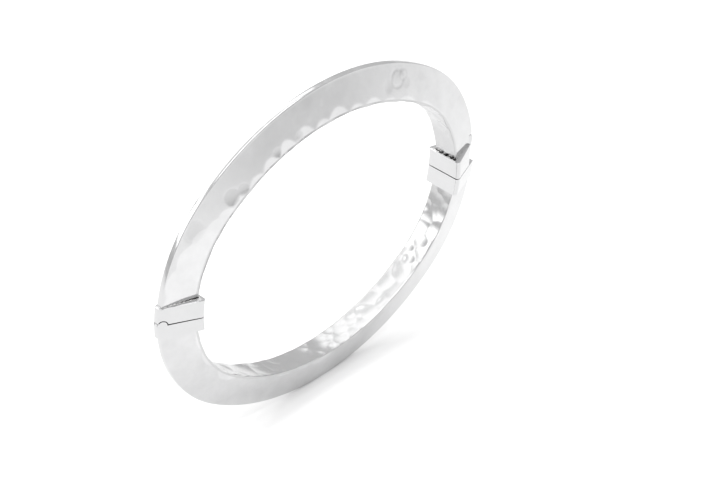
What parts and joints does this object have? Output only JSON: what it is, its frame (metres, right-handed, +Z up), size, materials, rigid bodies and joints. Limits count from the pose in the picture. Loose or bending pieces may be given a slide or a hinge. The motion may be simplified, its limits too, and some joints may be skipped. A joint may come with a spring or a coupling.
{
  "type": "bangle bracelet",
  "caption": "Oval hinged bangle bracelet with a knife-edge outer crest, hammered silver faces, soldered collars, a side hinge and a sprung tongue clasp.",
  "frame": {"origin": "centre of the oval wrist opening", "axes": "+X along the long axis towards the clasp, +Y along the wrist, +Z up as the bangle stands on its crest"},
  "size_m": [0.0736, 0.007, 0.059],
  "materials": {
    "hammered_silver": "polished and hammered sterling silver",
    "collar_silver": "polished sterling silver with soldered rims",
    "inner_part_silver": "sterling silver as filed, with light tarnish",
    "spring_silver": "work-hardened sterling silver sheet",
    "tab_silver": "polished sterling silver"
  },
  "bodies": {
    "lower_half": {"lower_outer_shell": "hammered_silver", "lower_inner_band": "hammered_silver", "lower_hinge_collar": "collar_silver", "lower_clasp_collar": "collar_silver", "lower_hinge_plate": "inner_part_silver", "lower_clasp_plate": "inner_part_silver", "near_knuckle_barrel": "inner_part_silver", "far_knuckle_barrel": "inner_part_silver", "hinge_pin": "inner_part_silver", "tongue_leaf": "spring_silver"},
    "upper_half": {"upper_outer_shell": "hammered_silver", "upper_inner_band": "hammered_silver", "upper_hinge_collar": "collar_silver", "upper_clasp_collar": "collar_silver", "upper_hinge_plate": "inner_part_silver", "upper_catch_plate": "inner_part_silver", "middle_knuckle_barrel": "inner_part_silver"},
    "catch": {"spring_leaf": "spring_silver", "thumb_tab": "tab_silver"}
  },
  "joints": [
    {"name": "hinge_opening", "type": "hinge", "parent": "lower_half", "child": "upper_half", "pos_m": [-0.03615, 0, 0.00128], "axis": [0, -1, 0], "range_deg": [0, 60]},
    {"name": "catch_press", "type": "hinge", "parent": "lower_half", "child": "catch", "pos_m": [0.03189, 0, 0.00391], "axis": [0, 1, 0], "range_deg": [0, 4], "stiffness_Nm_per_rad": 0.15}
  ]
}
